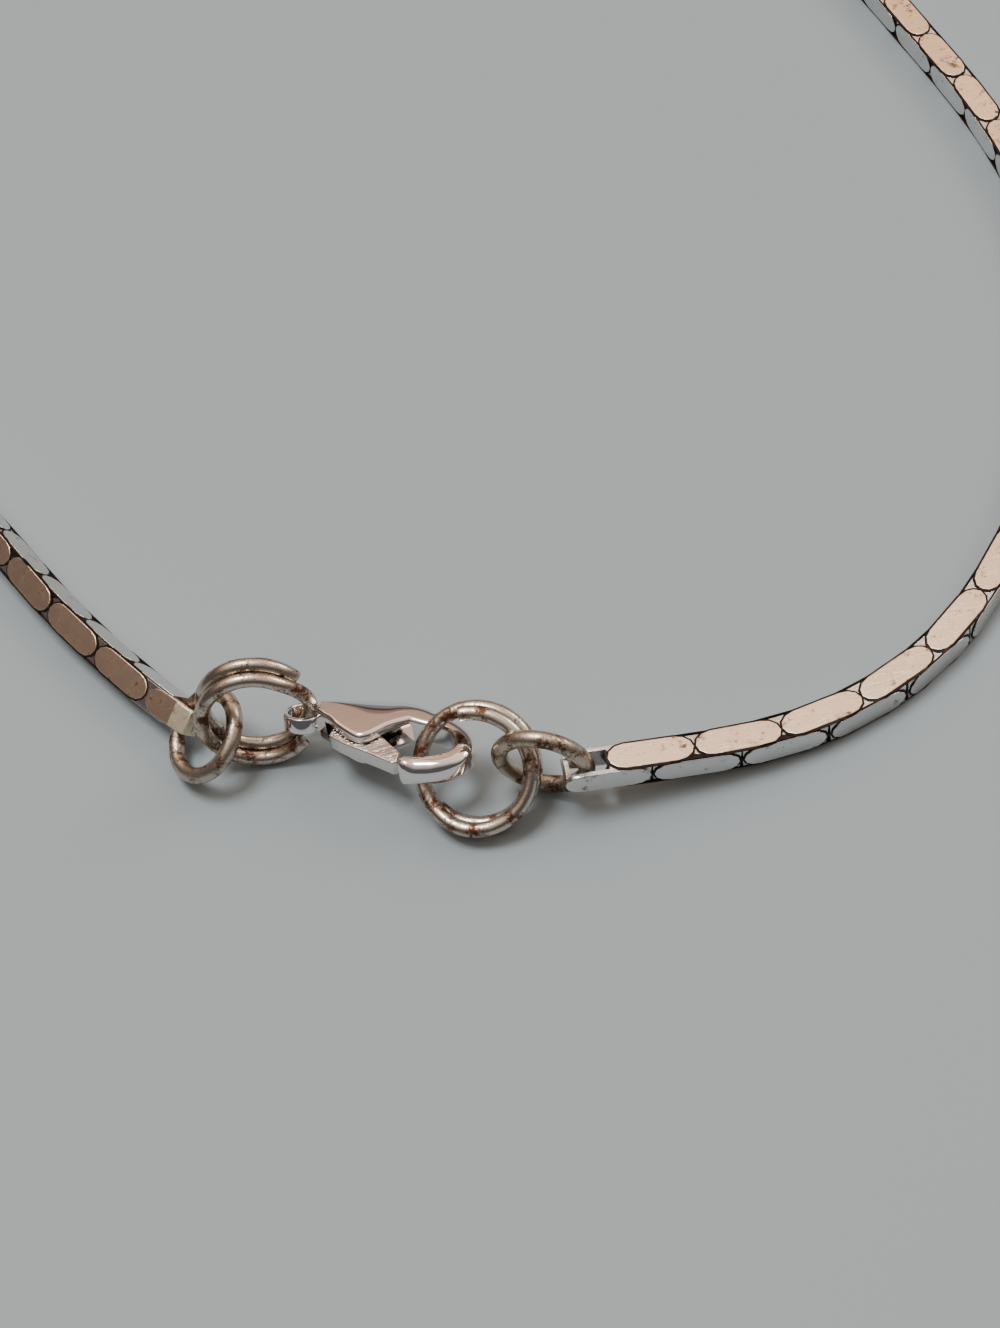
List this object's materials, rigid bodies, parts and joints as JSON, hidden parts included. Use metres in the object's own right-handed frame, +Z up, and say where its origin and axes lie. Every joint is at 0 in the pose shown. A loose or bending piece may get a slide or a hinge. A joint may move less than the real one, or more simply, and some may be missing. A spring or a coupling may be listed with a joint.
{
  "type": "bar-link chain necklace",
  "caption": "Silver-tone chain necklace of flat bar links, 16 in round, fastened by a lobster clasp with two split rings and two jump rings, lying as a long oval loop.",
  "frame": {"origin": "middle of the loop's box in plan, on the surface that the necklace lies on", "axes": "+Z up; the clasp lies at the -Y side and the loop's long way runs along +Y"},
  "size_m": [0.084, 0.1644, 0.0063],
  "materials": {
    "chain": "satin, slightly tarnished",
    "jump_rings": "drawn wire, tarnished and pitted",
    "split_rings": "drawn wire, worn bright, brown tarnish in the gaps",
    "clasp": "polished",
    "clasp_lever": "polished, striated by casting"
  },
  "bodies": {
    "necklace": {"chain": "chain", "left_jump_ring": "jump_rings", "right_jump_ring": "jump_rings", "left_split_ring": "split_rings", "right_split_ring": "split_rings", "clasp_body": "clasp"},
    "lever": {"clasp_lever": "clasp_lever"}
  },
  "joints": [
    {"name": "lever_hinge", "type": "hinge", "parent": "necklace", "child": "lever", "pos_m": [-0.00291, -0.07554, 0.00235], "axis": [0.1081, 0.2587, 0.9599], "range_deg": [0, 15], "stiffness_Nm_per_rad": 0.0005, "springref_deg": -11.46}
  ]
}
